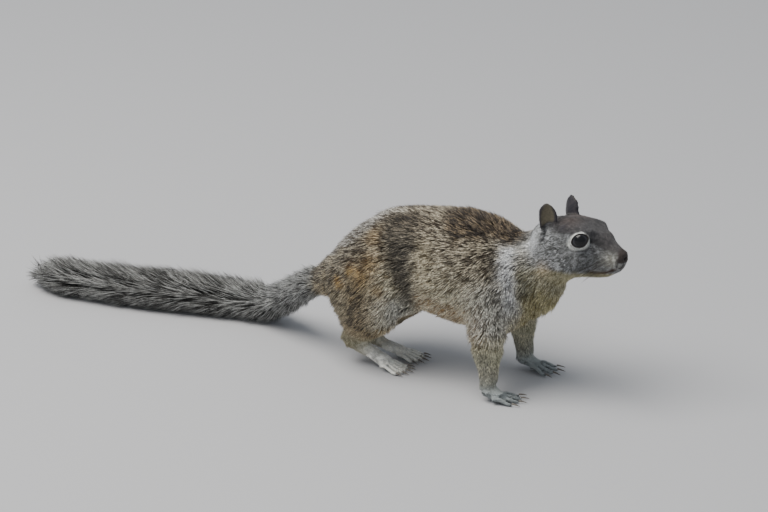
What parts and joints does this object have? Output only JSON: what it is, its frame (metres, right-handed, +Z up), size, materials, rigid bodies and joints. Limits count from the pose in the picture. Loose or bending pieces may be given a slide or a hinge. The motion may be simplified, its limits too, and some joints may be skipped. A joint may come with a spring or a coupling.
{
  "type": "ground squirrel",
  "caption": "Life-size still model of a ground squirrel standing on all fours, head stretched forward, back arched, long bushy tail laid along the floor.",
  "frame": {"origin": "middle of the bounding box on the floor, under the animal's belly", "axes": "+X from the tail towards the head, +Y to the animal's left, +Z up"},
  "size_m": [0.441, 0.0828, 0.1281],
  "materials": {
    "body_fur": "short dense coat, brown flecked with buff and grey",
    "claw": "dark horn",
    "ear_fur": "thin ear with fine dark down",
    "eye": "wet, black, glossy",
    "face_fur": "very short coat, grey brown",
    "foot_fur": "very short whitish coat",
    "tail_fur": "long coat banded with black and pale grey"
  },
  "bodies": {
    "root": {"claw_fore_left_1": "claw", "claw_fore_left_2": "claw", "claw_fore_left_3": "claw", "claw_fore_left_4": "claw", "claw_fore_right_1": "claw", "claw_fore_right_2": "claw", "claw_fore_right_3": "claw", "claw_fore_right_4": "claw", "claw_hind_left_1": "claw", "claw_hind_left_2": "claw", "claw_hind_left_3": "claw", "claw_hind_left_4": "claw", "claw_hind_left_5": "claw", "claw_hind_right_1": "claw", "claw_hind_right_2": "claw", "claw_hind_right_3": "claw", "claw_hind_right_4": "claw", "claw_hind_right_5": "claw", "ear_left": "ear_fur", "ear_right": "ear_fur", "eye_left": "eye", "eye_right": "eye", "fore_foot_left": "foot_fur", "fore_foot_right": "foot_fur", "forearm_left": "body_fur", "forearm_right": "body_fur", "head": "face_fur", "hind_foot_left": "foot_fur", "hind_foot_right": "foot_fur", "neck": "body_fur", "shank_left": "body_fur", "shank_right": "body_fur", "tail_base": "tail_fur", "tail_middle": "tail_fur", "tail_tip": "tail_fur", "thigh_left": "body_fur", "thigh_right": "body_fur", "trunk": "body_fur", "upper_arm_left": "body_fur", "upper_arm_right": "body_fur"}
  },
  "joints": []
}
